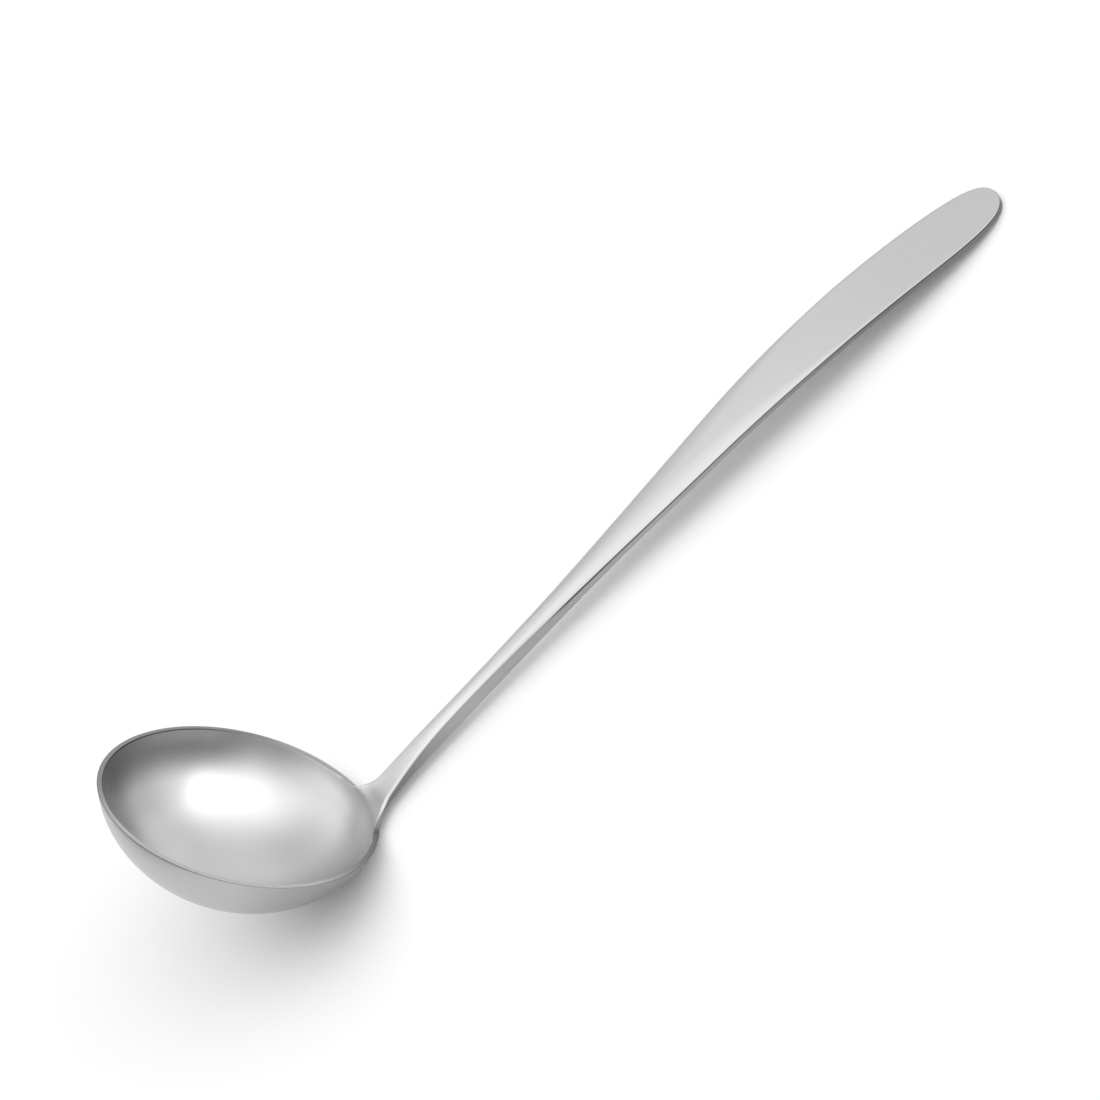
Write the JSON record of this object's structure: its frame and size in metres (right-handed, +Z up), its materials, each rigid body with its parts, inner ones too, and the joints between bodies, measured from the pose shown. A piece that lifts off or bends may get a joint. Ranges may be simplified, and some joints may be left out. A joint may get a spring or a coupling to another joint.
{
  "type": "soup ladle",
  "caption": "Satin steel soup ladle: deep round bowl with a flat rim, and a long handle that rises from the rim through a narrow neck and broadens to a flat, round-tipped end.",
  "frame": {"origin": "centre of the bounding box on the table: the ladle lies at rest, with the outside of its bowl and the tip of its handle on the plane z = 0", "axes": "+X along the ladle from the bowl to the handle's tip, +Z up from the table; y = 0 is the plane of symmetry, and the mouth of the bowl faces up and towards the tip"},
  "size_m": [0.3324, 0.0898, 0.0772],
  "materials": {
    "bowl_steel": "satin",
    "handle_steel": "satin"
  },
  "bodies": {
    "root": {"bowl": "bowl_steel", "handle": "handle_steel"}
  },
  "joints": []
}
